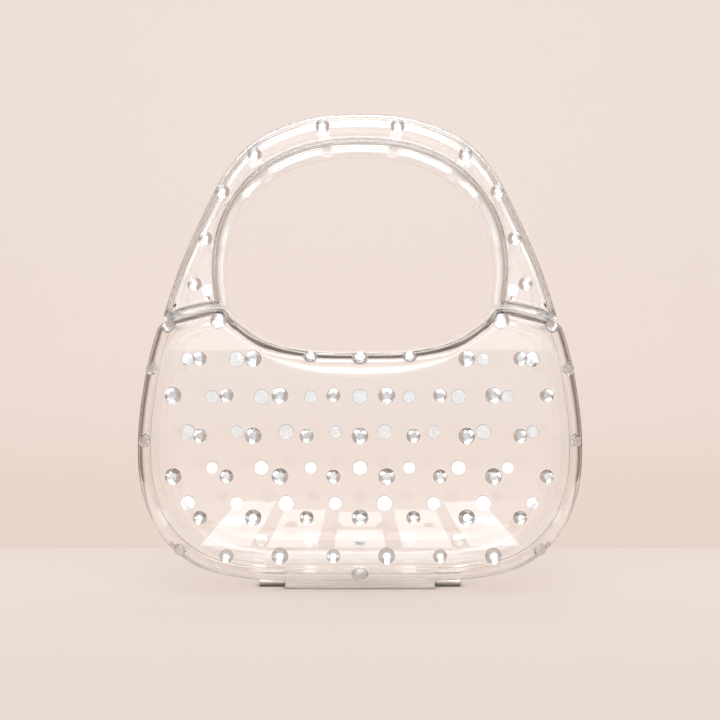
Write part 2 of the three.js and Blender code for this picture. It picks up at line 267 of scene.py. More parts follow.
def rounded_path(corners, radius):
    """A path with each of its inner corners rounded. Each straight stretch starts and ends with a short step,
    so that its shading stays flat."""
    corners = [np.array(corner, float) for corner in corners]
    stretches = [after - before for before, after in zip(corners, corners[1:])]
    lengths = [np.linalg.norm(stretch) for stretch in stretches]
    ways = [stretch / length for stretch, length in zip(stretches, lengths)]
    path = [corners[0], corners[0] + ways[0] * min(FLAT_STEP, FLAT_STEP_SHARE * lengths[0])]
    for i in range(1, len(corners) - 1):
        reach = min(radius, ROUND_SHARE * lengths[i - 1], ROUND_SHARE * lengths[i])
        flat = ROUND_FLAT_SHARE * reach
        start = corners[i] - ways[i - 1] * reach
        end = corners[i] + ways[i] * reach
        path.append(start - ways[i - 1] * flat)
        for share in np.linspace(0, 1, ROUND_STEPS + 1):
            path.append((1 - share) ** 2 * start + 2 * share * (1 - share) * corners[i] + share**2 * end)
        path.append(end + ways[i] * flat)
    path.append(corners[-1] - ways[-1] * min(FLAT_STEP, FLAT_STEP_SHARE * lengths[-1]))
    path.append(corners[-1])
    return path


def moulded_rings(loop_at, face, side_depth, draft, rim_path, side):
    """Rings of a moulded tray: down its outside from the face, round its rim, and up its inside.
    loop_at gives the outline drawn in by a distance, and rim_path the distance and depth round the rim."""

    def rounding(edge, face_depth):
        rings = []
        for turn in np.linspace(math.pi / 2, 0, FILLET_STEPS + 1)[:-1]:
            share = draft + (1 - draft) * (1 - math.cos(turn))
            depth = side_depth + (face_depth - side_depth) * math.sin(turn)
            rings.append(ring(between(edge, face, share), depth, side))
        return rings

    def rim_ring(distance, depth):
        share = draft * max(0.0, (depth - SEAM_GAP) / (side_depth - SEAM_GAP))
        return ring(between(loop_at(distance), face, share), depth, side)

    inner_face = HALF_DEPTH - WALL
    flat = inset(face, FACE_MARGIN)
    outside = rounding(loop_at(0), HALF_DEPTH)
    inside = rounding(loop_at(WALL), inner_face)[::-1]
    rim = [rim_ring(distance, depth) for distance, depth in rim_path]
    return [ring(flat, HALF_DEPTH, side)] + outside + rim + inside + [ring(flat, inner_face, side)]


def band(low, high, count):
    """Faces between two rings of points, by the number of each ring's first point."""
    return [(low + i, low + (i + 1) % count, high + (i + 1) % count, high + i) for i in range(count)]


def fan(start, tip, count):
    """Faces from a ring of points to a tip."""
    return [(start + i, start + (i + 1) % count, tip) for i in range(count)]


def disc(start, count):
    """One face across a ring of points."""
    return [tuple(range(start, start + count))]


def loft(rings, capped=True):
    """Points and faces through rings of equal length: capped at the ends, or joined last to first."""
    count = len(rings[0])
    faces = []
    pairs = len(rings) - 1 if capped else len(rings)
    for row in range(pairs):
        faces.extend(band(row * count, (row + 1) % len(rings) * count, count))
    if capped:
        faces.extend(disc(0, count) + disc((len(rings) - 1) * count, count))
    return np.concatenate(rings), faces


def add_piece(name, points, faces, materials, face_materials=None, smooth_degrees=None):
    """A mesh object from points in millimetres, with its faces turned outwards."""
    mesh = bpy.data.meshes.new(name)
    mesh.from_pydata((np.asarray(points) * MM).tolist(), [], faces)
    for material in materials:
        mesh.materials.append(material)
    if face_materials is not None:
        mesh.polygons.foreach_set("material_index", face_materials)
    work = bmesh.new()
    work.from_mesh(mesh)
    bmesh.ops.recalc_face_normals(work, faces=work.faces)
    work.to_mesh(mesh)
    work.free()
    mesh.polygons.foreach_set("use_smooth", [smooth_degrees is not None] * len(mesh.polygons))
    if smooth_degrees is not None:
        mesh.set_sharp_from_angle(angle=math.radians(smooth_degrees))
    piece = bpy.data.objects.new(name, mesh)
    bpy.context.scene.collection.objects.link(piece)
    return piece


def settle(piece, body, nodes=()):
    """The piece rides on a body and stands for solids."""
    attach(piece, body)
    if nodes:
        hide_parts(*nodes)


body_seam = smooth_curve(mirrored([row[1:3] for row in BODY_OUTLINE]), True)
body_face = smooth_curve(mirrored([row[3:5] for row in BODY_OUTLINE]), True)
BODY_STATIONS = 2 * (len(BODY_OUTLINE) - 1)
BODY_SIDE_DEPTH = HALF_DEPTH - BODY_FILLET


def body_shell(side):
    """One half of the body: an open tray with a rounded rim, and a tongue or a groove along the seam."""
    count = BODY_STATIONS * BODY_CUTS
    seam = cut_curve(body_seam, 0, BODY_STATIONS, count)[:-1]
    face = cut_curve(body_face, 0, BODY_STATIONS, count)[:-1]
    lip = GROOVE_INSET if side == FRONT else TONGUE_INSET
    lip_depth = GROOVE_DEPTH if side == FRONT else -TONGUE_LENGTH
    corners = [
        (0, BODY_SIDE_DEPTH),
        (0, SEAM_GAP),
        (lip, SEAM_GAP),
        (lip, lip_depth),
        (WALL, lip_depth),
        (WALL, BODY_SIDE_DEPTH),
    ]
    rings = moulded_rings(
        lambda distance: inset(seam, distance),
        face,
        BODY_SIDE_DEPTH,
        BODY_DRAFT_SHARE,
        rounded_path(corners, EDGE_ROUND),
        side,
    )
    return loft(rings)


def foot_edge():
    """The underside of the right foot, from its outer corner to its inner one, above the shoulder."""
    edge = []
    for station in np.linspace(FOOT_FROM, FOOT_TO, FOOT_CUTS + 1):
        along = body_seam(station + SLOPE_STEP) - body_seam(station - SLOPE_STEP)
        along /= np.linalg.norm(along)
        edge.append(body_seam(station) + BOND_GAP * np.array([along[1], -along[0]]))
    return np.array(edge)


foot = foot_edge()
handle_outer = smooth_curve(across_top([tuple(foot[0])] + [row[1:3] for row in HANDLE_STATIONS]), False)
handle_inner = smooth_curve(across_top([tuple(foot[-1])] + [row[3:5] for row in HANDLE_STATIONS]), False)
HANDLE_STRETCHES = 2 * len(HANDLE_STATIONS)
FOOT_STRETCH = float(np.linalg.norm(foot[0] - np.array(HANDLE_STATIONS[0][1:3])))


def handle_loop(distance):
    """The handle's outline, drawn in by a distance from its long edges and from under its feet."""
    margin = distance / FOOT_STRETCH
    count = HANDLE_STRETCHES * HANDLE_CUTS
    outer = cut_curve(handle_outer, margin, HANDLE_STRETCHES - margin, count)
    inner = cut_curve(handle_inner, margin, HANDLE_STRETCHES - margin, count)
    share = distance / np.linalg.norm(inner - outer, axis=1, keepdims=True)
    outer_edge = between(outer, inner, share)
    inner_edge = between(inner, outer, share)
    shares = np.linspace(0, 1, FOOT_CUTS + 1)[1:-1, None]
    straight = between(foot[0], foot[-1], shares)
    under = between(outer_edge[0], inner_edge[0], shares) + foot[1:-1] - straight
    return np.concatenate([outer_edge, under * (-1, 1), inner_edge[::-1], under[::-1]])


def handle_shell(side):
    """One half of the handle: a hollow arch, closed over each shoulder by a foot that follows the body."""
    side_depth = HALF_DEPTH - HANDLE_FILLET
    corners = [(0, side_depth), (0, SEAM_GAP), (WALL, SEAM_GAP), (WALL, side_depth)]
    rings = moulded_rings(
        handle_loop,
        handle_loop(HANDLE_RIM),
        side_depth,
        HANDLE_DRAFT_SHARE,
        rounded_path(corners, EDGE_ROUND),
        side,
    )
    return loft(rings)


GLASS_FACE = 0
FOIL_FACE = 1


def circle(count, radius, level, turn=0.0):
    angles = np.arange(count) * 2 * math.pi / count + turn
    return np.column_stack([radius * np.cos(angles), radius * np.sin(angles), np.full(count, level)])


def cut_stone(radius, height):
    """A stone on its flat back at the origin, looking along +Z. The glass has a table, eight star facets,
    eight kites and sixteen rim facets above the girdle, and an almost flat foiled underside. A foil cup holds
    it."""
    rim_count = STONE_RIM_FACETS
    side_count = STONE_TABLE_SIDES
    half_side = math.pi / side_count
    table_radius = radius * STONE_TABLE_SHARE
    star_radius = radius * STONE_STAR_SHARE
    girdle_low = height * STONE_GIRDLE_LOW_SHARE
    girdle_high = height * STONE_GIRDLE_HIGH_SHARE
    fall = (height - girdle_high) / (radius - table_radius)
    star_height = height - fall * (star_radius * math.cos(half_side) - table_radius)
    rings = {
        "low": circle(rim_count, radius, girdle_low),
        "high": circle(rim_count, radius, girdle_high),
        "star": circle(side_count, star_radius, star_height, half_side),
        "table": circle(side_count, table_radius, height),
        "tip": [(0, 0, STONE_POINT_HEIGHT)],
        "back": circle(rim_count, radius * STONE_FOIL_SHARE, 0),
        "cup": circle(rim_count, radius, girdle_low - STONE_CUP_GAP),
        "cup_tip": [(0, 0, STONE_POINT_HEIGHT - STONE_CUP_GAP)],
    }
    first = {}
    points = []
    for name, ring_points in rings.items():
        first[name] = len(points)
        points.extend(ring_points)
    low, high, star, table = (first[name] for name in ("low", "high", "star", "table"))
    back, cup = first["back"], first["cup"]
    glass = band(low, high, rim_count) + disc(table, side_count)
    for i in range(side_count):
        after = (i + 1) % side_count
        before = (i - 1) % side_count
        rim = high + 2 * i
        glass.append((table + i, star + i, table + after))
        glass.append((table + i, star + before, rim, star + i))
        glass.append((star + i, rim, rim + 1))
        glass.append((star + i, rim + 1, high + 2 * after))
    foil = fan(low, first["tip"], rim_count) + disc(back, rim_count) + band(back, cup, rim_count)
    foil += fan(cup, first["cup_tip"], rim_count)
    return np.array(points), glass + foil, [GLASS_FACE] * len(glass) + [FOIL_FACE] * len(foil)


def seat_axes(normal, spin):
    """Two directions across a seat, turned by spin, and its normal."""
    normal = Vector(normal).normalized()
    across = normal.orthogonal().normalized()
    beside = normal.cross(across)
    first = across * math.cos(spin) + beside * math.sin(spin)
    return np.array([first, normal.cross(first), normal])


def stone_cluster(seats):
    """One mesh of many stones. A seat is a point, a normal, a radius and a height."""
    points, faces, kinds = [], [], []
    for index, (point, normal, radius, height) in enumerate(seats):
        stone_points, stone_faces, stone_kinds = cut_stone(radius, height)
        offset = index * len(stone_points)
        points.append(stone_points @ seat_axes(normal, index * STONE_SPIN) + np.array(point))
        faces.extend(tuple(offset + i for i in face) for face in stone_faces)
        kinds.extend(stone_kinds)
    return np.concatenate(points), faces, kinds


def flat_seat(x, z, size, side):
    """A seat on the flat front of a half."""
    radius, height = STONE_SIZES[size]
    return (x, side * (HALF_DEPTH + STONE_GLUE), z), (0, side, 0), radius, height


def front_face_seats(nodes):
    """Seats of the stones on the front face, read from the solids that they stand for."""
    seats = []
    for name in nodes:
        low, high = (np.array(corner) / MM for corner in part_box(name))
        centre = (low + high) / 2
        radius = (high[0] - low[0]) / 2
        seats.append(((centre[0], high[1], centre[2]), (0, FRONT, 0), radius, high[1] - low[1]))
    return seats


def back_face_seats():
    other = {"large": "small", "small": "large"}
    seats = []
    for height, columns, first in BACK_ROWS:
        for column in columns:
            turn = round(column - columns[0]) % 2
            seats.append(flat_seat(column * COLUMN_PITCH, height, other[first] if turn else first, BACK))
    return seats


def rim_point(station, share):
    """A point on the rounded rim of the front body."""
    turn = math.acos(1 - (share - BODY_DRAFT_SHARE) / (1 - BODY_DRAFT_SHARE))
    x, z = between(body_seam(station), body_face(station), share)
    return np.array([x, FRONT * (BODY_SIDE_DEPTH + BODY_FILLET * math.sin(turn)), z])


def rim_seats():
    last = len(BODY_OUTLINE) - 1
    seats = []
    for station, share, size in RIM_STONES:
        places = [station] if station in (0, last) else [station, BODY_STATIONS - station]
        for place in places:
            along = rim_point(place + SLOPE_STEP, share) - rim_point(place - SLOPE_STEP, share)
            inwards = rim_point(place, share + SLOPE_STEP) - rim_point(place, share - SLOPE_STEP)
            normal = np.cross(along, inwards)
            normal /= np.linalg.norm(normal)
            seat = rim_point(place, share) + STONE_GLUE * normal
            seats.append((tuple(seat), tuple(normal), *STONE_SIZES[size]))
    return seats


def handle_seats(side):
    return [flat_seat(turn * x, z, "small", side) for x, z in HANDLE_STONES for turn in (-1, 1)]


def along_hinge(x, shape):
    """A ring round the hinge's axis at x, from a shape of y and height above the axis."""
    return np.column_stack([np.full(len(shape), x), shape[:, 0], shape[:, 1] + HINGE_AXIS_HEIGHT])


def hinge_block(start, end, side):
    """A hinge block along X with chamfered ends: flat underneath, a round knuckle on the axis, and a bore."""
    radius = HINGE_AXIS_HEIGHT
    half_turn = np.linspace(-math.pi / 2, math.pi / 2, KNUCKLE_STEPS + 1)
    knuckle = [(-side * radius * math.cos(angle), radius * math.sin(angle)) for angle in half_turn]
    tail = side * HINGE_REACH
    tail_corners = [(0, radius), (tail, radius), (tail, -radius), (0, -radius)]
    outline = np.array(knuckle + [tuple(point) for point in rounded_path(tail_corners, HINGE_ROUND)[1:-1]])
    angles = np.arctan2(outline[:, 1], -side * outline[:, 0])
    bore_radius = PIN_RADIUS + HINGE_PLAY
    bore = np.column_stack([-side * bore_radius * np.cos(angles), bore_radius * np.sin(angles)])
    drawn_in = inset(outline, -side * HINGE_CHAMFER)
    stages = [
        (start, bore),
        (start, drawn_in),
        (start + HINGE_CHAMFER, outline),
        (end - HINGE_CHAMFER, outline),
        (end, drawn_in),
        (end, bore),
    ]
    return loft([along_hinge(x, shape) for x, shape in stages], capped=False)


def hinge_rod():
    """The pin, with domed ends."""
    half = HINGE_MIDDLE_LENGTH / 2 + HINGE_PLAY + HINGE_END_LENGTH
    angles = np.linspace(0, 2 * math.pi, KNUCKLE_STEPS, endpoint=False)
    section = PIN_RADIUS * np.column_stack([np.cos(angles), np.sin(angles)])
    left = [(-half + distance, share) for distance, share in PIN_DOME]
    right = [(half - distance, share) for distance, share in reversed(PIN_DOME)]
    return loft([along_hinge(x, section * share) for x, share in left + right])


def set_inputs(node, values):
    for socket, value in values.items():
        node.inputs[socket].default_value = value


def add_node(tree, kind, inputs=None, **settings):
    """A new node with its settings, and constants on its own sockets."""
    node = tree.nodes.new(kind)
    for name, value in settings.items():
        setattr(node, name, value)
    set_inputs(node, inputs or {})
    return node


def add_sockets(group, way, kinds):
    for name, kind in kinds.items():
        group.interface.new_socket(name=name, in_out=way, socket_type=f"NodeSocket{kind}")


def surface_marks_group():
    """Fine handling marks: a roughness and a tone that wander between two values, and a faint height."""
    group = bpy.data.node_groups.new("surface_marks", "ShaderNodeTree")
    numbers = dict.fromkeys(("Scale", "Streak", "Smooth", "Worn"), "Float")
    colours = dict.fromkeys(("Dark", "Pale"), "Color")
    add_sockets(group, "INPUT", numbers | colours)
    add_sockets(group, "OUTPUT", {"Roughness": "Float", "Height": "Float", "Tone": "Color"})
    given = add_node(group, "NodeGroupInput")
    result = add_node(group, "NodeGroupOutput")
    place = add_node(group, "ShaderNodeTexCoord")
    stretch = add_node(group, "ShaderNodeCombineXYZ", {"Y": 1.0, "Z": 1.0})
    drawn = add_node(group, "ShaderNodeVectorMath", operation="MULTIPLY")
    marks = add_node(group, "ShaderNodeTexNoise", {"Detail": 5.0, "Roughness": 0.6})
    wear = add_node(group, "ShaderNodeMapRange", {"From Min": 0.35, "From Max": 0.7})
    mottle = add_node(group, "ShaderNodeMapRange", {"From Min": 0.3, "From Max": 0.7})
    tone = add_node(group, "ShaderNodeMix", data_type="RGBA")
    link = group.links.new
    link(given.outputs["Streak"], stretch.inputs["X"])
    link(place.outputs["Object"], drawn.inputs[0])
    link(stretch.outputs["Vector"], drawn.inputs[1])
    link(drawn.outputs["Vector"], marks.inputs["Vector"])
    link(given.outputs["Scale"], marks.inputs["Scale"])
    link(marks.outputs["Fac"], wear.inputs["Value"])
    link(given.outputs["Smooth"], wear.inputs["To Min"])
    link(given.outputs["Worn"], wear.inputs["To Max"])
    link(marks.outputs["Fac"], mottle.inputs["Value"])
    link(mottle.outputs["Result"], tone.inputs["Factor"])
    link(given.outputs["Dark"], tone.inputs["A"])
    link(given.outputs["Pale"], tone.inputs["B"])
    link(wear.outputs["Result"], result.inputs["Roughness"])
    link(marks.outputs["Fac"], result.inputs["Height"])
    link(tone.outputs["Result"], result.inputs["Tone"])
    return group


def new_material(name, values):
    """A material with constants on its main shader, its node tree and that shader."""
    material = bpy.data.materials.new(name)
    material.use_nodes = True
    shader = material.node_tree.nodes["Principled BSDF"]
    set_inputs(shader, values)
    return material, material.node_tree, shader


def place_marks(tree, shader, values, strength, distance):
    """The handling marks in a material: its roughness, and a faint bump. Returns the marks and the bump."""
    marks = add_node(tree, "ShaderNodeGroup", node_tree=surface_marks)
    set_inputs(marks, values)
    bump = add_node(tree, "ShaderNodeBump", {"Strength": strength, "Distance": distance})
    tree.links.new(marks.outputs["Roughness"], shader.inputs["Roughness"])
    tree.links.new(marks.outputs["Height"], bump.inputs["Height"])
    tree.links.new(bump.outputs["Normal"], shader.inputs["Normal"])
    return marks, bump


def mix_shaders(tree, share, first, second):
    """The surface of a material: first where the share is 0, second where it is 1."""
    mix = add_node(tree, "ShaderNodeMixShader")
    tree.links.new(share, mix.inputs["Fac"])
    tree.links.new(first.outputs["BSDF"], mix.inputs[1])
    tree.links.new(second.outputs["BSDF"], mix.inputs[2])
    tree.links.new(mix.outputs["Shader"], tree.nodes["Material Output"].inputs["Surface"])


def let_lamps_through(tree, shader, tint):
    """Light for the floor and for shadows passes, so that a clear piece casts a pale shadow."""
    path = add_node(tree, "ShaderNodeLightPath")
    clear = add_node(tree, "ShaderNodeBsdfTransparent", {"Color": (*tint, 1)})
    either = add_node(tree, "ShaderNodeMath", operation="MAXIMUM")
    tree.links.new(path.outputs["Is Shadow Ray"], either.inputs[0])
    tree.links.new(path.outputs["Is Diffuse Ray"], either.inputs[1])
    mix_shaders(tree, either.outputs["Value"], shader, clear)


def unmirrored(tree):
    """The light path of a tree, and a value that is 1 where sight has met no mirroring on its way."""
    path = add_node(tree, "ShaderNodeLightPath")
    less_than_one = 0.5  # depths are whole numbers
    none = add_node(tree, "ShaderNodeMath", {1: less_than_one}, operation="LESS_THAN")
    tree.links.new(path.outputs["Glossy Depth"], none.inputs[0])
    return path, none.outputs["Value"]


def clear_acrylic_material():
    """Moulded clear acrylic: near colourless, with the slow waviness of moulding and faint handling marks."""
    glass = {"Base Color": (1.0, 0.998, 0.996, 1), "Transmission Weight": 1.0, "IOR": 1.49}
    material, tree, shader = new_material("clear_acrylic", glass)
    scuffs = {"Scale": 35.0, "Streak": 1.0, "Smooth": 0.0, "Worn": 0.006}
    _, bump = place_marks(tree, shader, scuffs, strength=0.01, distance=0.00001)
    place = add_node(tree, "ShaderNodeTexCoord")
    waves = add_node(tree, "ShaderNodeTexNoise", {"Scale": 28.0, "Detail": 1.0})
    ripple = add_node(tree, "ShaderNodeBump", {"Strength": 0.2, "Distance": 0.0001})
    tree.links.new(place.outputs["Object"], waves.inputs["Vector"])
    tree.links.new(waves.outputs["Fac"], ripple.inputs["Height"])
    tree.links.new(ripple.outputs["Normal"], bump.inputs["Normal"])
    let_lamps_through(tree, shader, (0.985, 0.98, 0.975))
    return material


def cut_crystal_material():
    """Cut glass of the stones: clear, a little grey, with sharp facets."""
    glass = {"Base Color": (0.73, 0.725, 0.73, 1), "Transmission Weight": 1.0, "IOR": 1.58}
    material, tree, shader = new_material("cut_crystal", glass)
    scuffs = {"Scale": 900.0, "Streak": 1.0, "Smooth": 0.0, "Worn": 0.015}
    place_marks(tree, shader, scuffs, strength=0.01, distance=0.00005)
    let_lamps_through(tree, shader, (0.97, 0.97, 0.975))
    return material


def silver_foil_material():
    """Silver foil under the stones, a little mottled."""
    material, tree, shader = new_material("silver_foil", {"Metallic": 1.0})
    mottling = {
        "Scale": 450.0,
        "Streak": 1.0,
        "Smooth": 0.03,
        "Worn": 0.12,
        "Dark": (0.88, 0.865, 0.85, 1),
        "Pale": (0.97, 0.965, 0.96, 1),
    }
    marks, _ = place_marks(tree, shader, mottling, strength=0.03, distance=0.0001)
    tree.links.new(marks.outputs["Tone"], shader.inputs["Base Color"])
    return material


def hinge_steel_material():
    """Steel drawn along the hinge, with fine lines lengthwise."""
    material, tree, shader = new_material("hinge_steel", {"Metallic": 1.0})
    drawn_lines = {
        "Scale": 1600.0,
        "Streak": 0.03,
        "Smooth": 0.16,
        "Worn": 0.34,
        "Dark": (0.66, 0.635, 0.61, 1),
        "Pale": (0.90, 0.88, 0.86, 1),
    }
    marks, _ = place_marks(tree, shader, drawn_lines, strength=0.25, distance=0.0001)
    tree.links.new(marks.outputs["Tone"], shader.inputs["Base Color"])
    return material


surface_marks = surface_marks_group()
clear_acrylic = clear_acrylic_material()
cut_crystal = cut_crystal_material()
silver_foil = silver_foil_material()
hinge_steel = hinge_steel_material()

MOULDED = {"materials": [clear_acrylic], "smooth_degrees": SHADE_DEGREES}
DRAWN = {"materials": [hinge_steel], "smooth_degrees": SHADE_DEGREES}
front_stone_nodes = sorted(name for name in frame["nodes"] if name.startswith("stone_"))

for half, side in (("front", FRONT), ("back", BACK)):
    body = f"{half}_half"
    shell = add_piece(f"{half}_shell", *body_shell(side), **MOULDED)
    settle(shell, body, [f"{half}_body"])
    arch = add_piece(f"{half}_handle_arch", *handle_shell(side), **MOULDED)
    settle(arch, body, [f"{half}_handle"])
    face_seats = front_face_seats(front_stone_nodes) if side == FRONT else back_face_seats()
    clusters = [("face", face_seats), ("handle", handle_seats(side))]
    if side == FRONT:
        clusters.append(("rim", rim_seats()))
    for where, seats in clusters:
        points, faces, kinds = stone_cluster(seats)
        stones = add_piece(f"{half}_{where}_stones", points, faces, [cut_crystal, silver_foil], kinds)
        stood_for = front_stone_nodes if (side, where) == (FRONT, "face") else ()
        settle(stones, body, stood_for)

middle_end = HINGE_MIDDLE_LENGTH / 2
block_start = middle_end + HINGE_PLAY
block_end = block_start + HINGE_END_LENGTH
HINGE_BLOCKS = [
    # node, start, end, side, body
    ("hinge_middle", -middle_end, middle_end, FRONT, "front_half"),
    ("hinge_left", -block_end, -block_start, BACK, "back_half"),
    ("hinge_right", block_start, block_end, BACK, "back_half"),
]
for node, start, end, side, body in HINGE_BLOCKS:
    block = add_piece(f"{node}_block", *hinge_block(start, end, side), **DRAWN)
    settle(block, body, [node])
rod = add_piece("hinge_rod", *hinge_rod(), **DRAWN)
settle(rod, "back_half", ["hinge_pin"])


# Stage: floor and backdrop
FLOOR_RINGS = (100.0, 400.0, 1550.0)  # towards the front, and FLOOR_SPREAD times that to the sides
FLOOR_SPREAD = 3.0
FLOOR_CUTS = 96
FLOOR_DROP = 0.05  # under the lowest point, so that the two surfaces don't coincide
FLOOR_BACK = 155.0  # where the backdrop starts, behind the bag
SWEEP_START = 700.0
SWEEP_RADIUS = 500.0
SWEEP_CUTS = 12
SWEEP_SHADE_DEGREES = 60
BACKDROP_WIDTH = 9000.0
BACKDROP_HEIGHT = 2600.0
# Pieces that reach below the floor when the bag is open
MOVING_PIECES = ("front_shell", "front_handle_arch", "front_face_stones")

# Paint of the stage: level along a slope in metres, and colour
ALONG_Y = (0.0, 1.0, 0.0)
UP_THE_SWEEP = (0.0, 1.0, 1.0)
# Painted pool of light: the floor's paint is lightest by the bag and darker towards the front.
FLOOR_LIGHT_POOL_STOPS = [(-1.1, (0.57, 0.52, 0.49)), (-0.25, (0.70, 0.637, 0.60)), (0.0, (0.81, 0.735, 0.695))]
# Painted light from above: the backdrop's paint is darker low on the sweep and lighter up the wall.
BACKDROP_PAINTED_LIGHT_STOPS = [(0.16, (0.80, 0.69, 0.625)), (0.7, (0.90, 0.79, 0.725)), (1.7, (0.96, 0.88, 0.84))]
SURROUNDINGS = (0.80, 0.765, 0.745)


def floor_mesh():
    rings = []
    for radius in FLOOR_RINGS:
        rings.append(circle(FLOOR_CUTS, radius, -FLOOR_DROP) * (FLOOR_SPREAD, 1, 1))
    faces = disc(0, FLOOR_CUTS)
    for row in range(len(rings) - 1):
        faces += band(row * FLOOR_CUTS, (row + 1) * FLOOR_CUTS, FLOOR_CUTS)
    return np.concatenate(rings), faces


def backdrop_mesh():
    """A sheet that lies on the floor far behind the bag and sweeps up into a wall."""
    profile = [(FLOOR_BACK, 0.0)]
    for turn in np.linspace(0, math.pi / 2, SWEEP_CUTS + 1):
        profile.append((SWEEP_START + SWEEP_RADIUS * math.sin(turn), SWEEP_RADIUS * (1 - math.cos(turn))))
    profile.append((SWEEP_START + SWEEP_RADIUS, BACKDROP_HEIGHT))
    points, faces = [], []
    for y, z in profile:
        points.extend([(-BACKDROP_WIDTH / 2, y, z), (BACKDROP_WIDTH / 2, y, z)])
    for row in range(len(profile) - 1):
        faces.append((2 * row, 2 * row + 1, 2 * row + 3, 2 * row + 2))
    return points, faces


def set_stops(ramp, stops):
    """Gives a colour ramp its stops of position and colour."""
    elements = ramp.color_ramp.elements
    while len(elements) < len(stops):
        elements.new(0.5)
    for element, (position, colour) in zip(elements, stops):
        element.position = position
        element.color = (*colour, 1)


def stage_material(name, slope, stops):
    """Matt paint for the stage. Its colour goes through stops, by a point's distance along slope. The stops
    carry painted light and shade: a pool of light on the floor, light from above on the backdrop, and the
    tones of the dark cards.
    """
    material, tree, shader = new_material(name, {"Roughness": 0.9, "Specular IOR Level": 0.15})
    first = stops[0][0]
    last = stops[-1][0]
    place = add_node(tree, "ShaderNodeTexCoord")
    level = add_node(tree, "ShaderNodeVectorMath", {1: slope}, operation="DOT_PRODUCT")
    share = add_node(tree, "ShaderNodeMapRange", {"From Min": first, "From Max": last})
    paint = add_node(tree, "ShaderNodeValToRGB")
    set_stops(paint, [((stop - first) / (last - first), colour) for stop, colour in stops])
    tree.links.new(place.outputs["Object"], level.inputs[0])
    tree.links.new(level.outputs["Value"], share.inputs["Value"])
    tree.links.new(share.outputs["Result"], paint.inputs["Fac"])
    tree.links.new(paint.outputs["Color"], shader.inputs["Base Color"])
    return material


def glow_material(name, colour):
    """Painted glow: a stage sheet that shines with light of its own, though it is no lamp, as bright as the
    surroundings behind it.
    """
    glow = {
        "Base Color": (0, 0, 0, 1),
        "Specular IOR Level": 0.0,
        "Emission Color": (*colour, 1),
        "Emission Strength": 1.0,
    }
    return new_material(name, glow)[0]


def show_straight(material):
    """The sheet shows only to sight straight through clear pieces."""
    tree = material.node_tree
    clear = add_node(tree, "ShaderNodeBsdfTransparent")
    mix_shaders(tree, unmirrored(tree)[1], clear, tree.nodes["Principled BSDF"])
    return material


def show_mirrored(material):
    """The sheet shows only to sight that clear and polished pieces have mirrored."""
    tree = material.node_tree
    clear = add_node(tree, "ShaderNodeBsdfTransparent")
    mix_shaders(tree, unmirrored(tree)[1], tree.nodes["Principled BSDF"], clear)
    return material


def sheet_across(x_ends, edge, other_edge):
    """Corners of a sheet across X, between two edges of y and z."""
    left, right = x_ends
    return [(left, *edge), (right, *edge), (right, *other_edge), (left, *other_edge)]


def sheet_beside(x, y_ends, height):
    """Corners of an upright sheet beside the bag."""
    near, far = y_ends
    return [(x, near, 0), (x, far, 0), (x, far, height), (x, near, height)]


def add_sheet(name, corners, material, unseen_by):
    sheet = add_piece(name, corners, disc(0, len(corners)), [material])
    for ray in unseen_by:
        setattr(sheet, f"visible_{ray}", False)
    return sheet


# Painted reflections and shade: dark cards round the bag that only mirrored sight meets, while the camera,
# diffuse light and shadows pass them by. They give its clear edges and facets something dark to mirror. The
# card under the bag stands for the shade beneath it, and the side cards are painted pale beside and in front
# of the bag and dark behind it.
FLAG_WARMTH = (1.0, 0.88, 0.8)
SIDE_TONES = [(-0.65, 0.6), (-0.2, 0.85), (0.08, 0.85), (0.16, 0.28)]
FLAGS = [
    # name, stops of distance along Y and tone, corners
    ("front_flag", [(0, 0.3), (1, 0.3)], sheet_across((-300, 300), (-62, 9.5), (-118, 3))),
    ("left_flag", SIDE_TONES, sheet_beside(-300, (-650, 700), 450)),
    ("right_flag", SIDE_TONES, sheet_beside(300, (-650, 700), 450)),
    ("left_floor_flag", SIDE_TONES, sheet_across((-300, -140), (-150, 0.3), (200, 0.3))),
    ("right_floor_flag", SIDE_TONES, sheet_across((300, 140), (-150, 0.3), (200, 0.3))),
    # Painted shade under the bag, seen only in reflections.
    ("under_flag", [(0, 0.5), (1, 0.5)], sheet_across((-105, 105), (-5, 0.3), (90, 0.3))),
    ("top_flag", [(0, 0.2), (1, 0.2)], sheet_across((-300, 300), (60, 450), (1150, 450))),
    ("level_flag", [(0, 0.75), (1, 0.75)], sheet_across((-100, 100), (120, 100.7), (500, 100.7))),
]
# Sheets that hide the lamps in front from sight straight through the clear pieces. The floor cover carries
# the floor's painted pool of light, and the front cover is a painted glow as bright as the surroundings,
# though it is no lamp.
FLOOR_COVER = sheet_across((-450, 450), (-1600, 12), (-36, 12))
FRONT_COVER = sheet_across((-1200, 1200), (-1050, 0), (-1050, 1900))

# The floor's paint holds a painted pool of light.
floor = add_piece("floor", *floor_mesh(), [stage_material("pale_floor", ALONG_Y, FLOOR_LIGHT_POOL_STOPS)])
# The backdrop carries painted light from above, darker low and lighter high.
pale_backdrop = stage_material("pale_backdrop", UP_THE_SWEEP, BACKDROP_PAINTED_LIGHT_STOPS)
backdrop = add_piece("backdrop", *backdrop_mesh(), [pale_backdrop], smooth_degrees=SWEEP_SHADE_DEGREES)
for name, tones, corners in FLAGS:
    stops = [(level, tuple(tone * share for share in FLAG_WARMTH)) for level, tone in tones]
    paint = show_mirrored(stage_material(name, ALONG_Y, stops))
    add_sheet(name, corners, paint, ("camera", "diffuse", "shadow"))
floor_paint = show_straight(stage_material("floor_cover", ALONG_Y, FLOOR_LIGHT_POOL_STOPS))
front_glow = show_straight(glow_material("front_cover", SURROUNDINGS))
for name, corners, paint in (
    ("floor_cover", FLOOR_COVER, floor_paint),
    ("front_cover", FRONT_COVER, front_glow),
):
    add_sheet(name, corners, paint, ("camera", "diffuse", "glossy", "shadow"))


